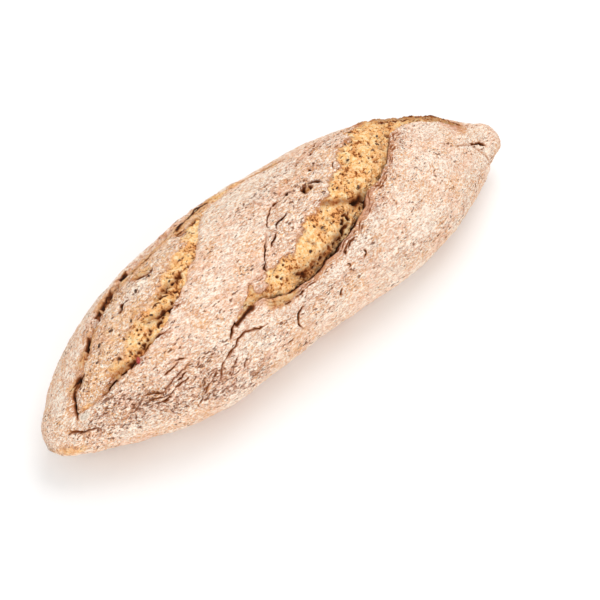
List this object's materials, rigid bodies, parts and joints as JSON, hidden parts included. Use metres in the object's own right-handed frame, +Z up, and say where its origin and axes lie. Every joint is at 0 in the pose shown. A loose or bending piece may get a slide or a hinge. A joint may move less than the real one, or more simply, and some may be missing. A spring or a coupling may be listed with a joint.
{
  "type": "baguette",
  "caption": "Short hand-shaped rustic loaf of dark wheat bread with a floury crust, pointed ends, a flat underside and long diagonal slashes that tore open in baking.",
  "frame": {"origin": "on the flat underside, below the middle of the loaf's box", "axes": "+X along the loaf towards its nubbed end, -Y towards the front side, where the middle slash's ear is, +Z up through the crown"},
  "size_m": [0.3066, 0.096, 0.0757],
  "materials": {
    "crust": "dry floury baked crust, matt and pinkish brown under patches of white flour, with golden crumb in the slashes"
  },
  "bodies": {
    "root": {"loaf": "crust"}
  },
  "joints": []
}
